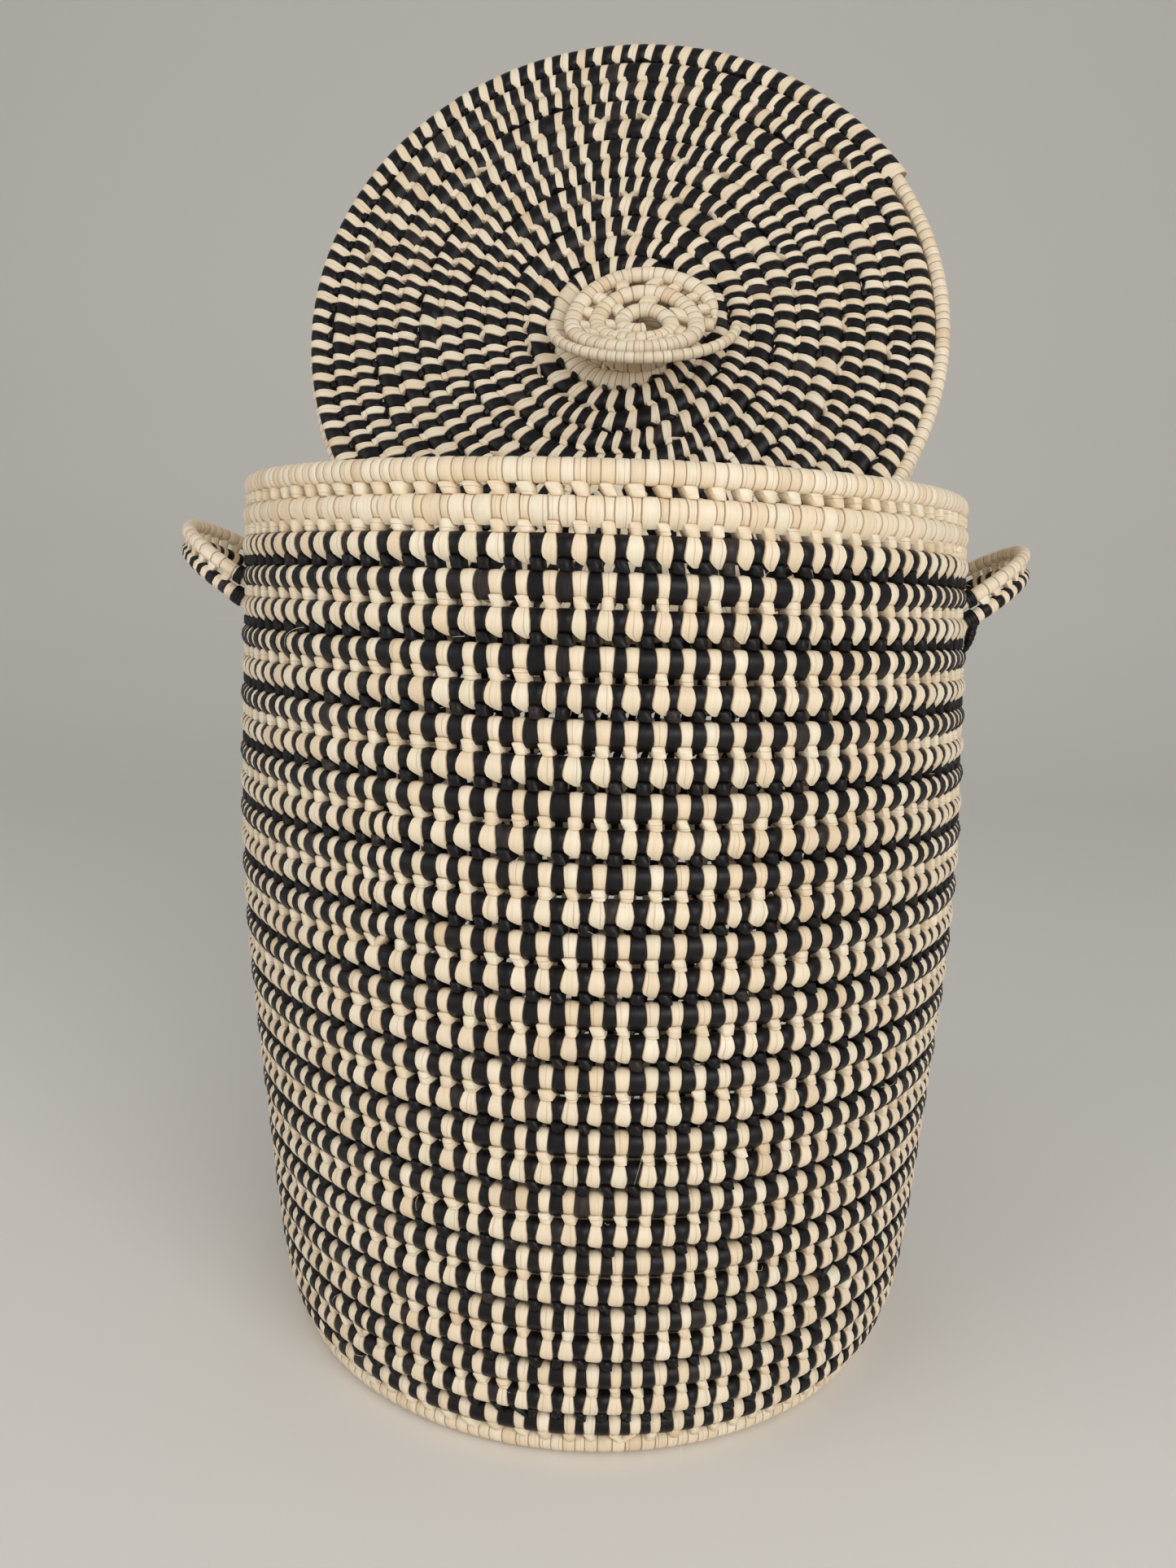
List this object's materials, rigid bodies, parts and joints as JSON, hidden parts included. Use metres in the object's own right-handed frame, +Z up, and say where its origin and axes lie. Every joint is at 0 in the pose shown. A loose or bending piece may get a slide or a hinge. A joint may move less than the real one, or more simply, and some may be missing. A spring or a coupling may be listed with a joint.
{
  "type": "lidded laundry basket",
  "caption": "Tall round coiled palm-leaf laundry basket with openwork striped wall, side handles and a lift-off lid with a coiled knob, the lid stood on edge in the mouth.",
  "frame": {"origin": "on the axis of the basket, on the floor that it stands on", "axes": "+Z up, -Y is the front that the lid's outer face and knob look to, +X is the right-hand handle seen from the front"},
  "size_m": [0.5062, 0.433, 0.8283],
  "materials": {
    "natural_leaf": "dry palm leaf, cream to straw, faint satin sheen",
    "striped_leaf": "dry palm leaf in natural and near-black strips side by side, faint satin sheen",
    "black_leaf": "dyed near-black palm leaf, faint satin sheen"
  },
  "bodies": {
    "basket": {"base_centre_coil": "natural_leaf", "base_outer_coil": "natural_leaf", "foot_coil": "natural_leaf", "wall_coil_1": "striped_leaf", "wall_coil_2": "striped_leaf", "wall_coil_3": "striped_leaf", "wall_coil_4": "striped_leaf", "wall_coil_5": "striped_leaf", "wall_coil_6": "striped_leaf", "rim_coil": "natural_leaf", "handle_left_upper_coil": "natural_leaf", "handle_left_lower_coil": "striped_leaf", "handle_left_upper_binding_front": "black_leaf", "handle_left_upper_binding_back": "black_leaf", "handle_left_lower_binding_front": "black_leaf", "handle_left_lower_binding_back": "black_leaf", "handle_right_upper_coil": "natural_leaf", "handle_right_lower_coil": "striped_leaf", "handle_right_upper_binding_front": "black_leaf", "handle_right_upper_binding_back": "black_leaf", "handle_right_lower_binding_front": "black_leaf", "handle_right_lower_binding_back": "black_leaf"},
    "lid": {"lid_centre_coil": "natural_leaf", "lid_striped_coil_1": "striped_leaf", "lid_striped_coil_2": "striped_leaf", "lid_striped_coil_3": "striped_leaf", "lid_skirt_coil": "natural_leaf", "knob_neck": "natural_leaf", "knob_cap": "natural_leaf", "knob_crest": "natural_leaf"}
  },
  "joints": [
    {"name": "lid_lift", "type": "slide", "parent": "basket", "child": "lid", "axis": [0.0249, 0.3312, 0.9432], "range_m": [0, 0.16]}
  ]
}
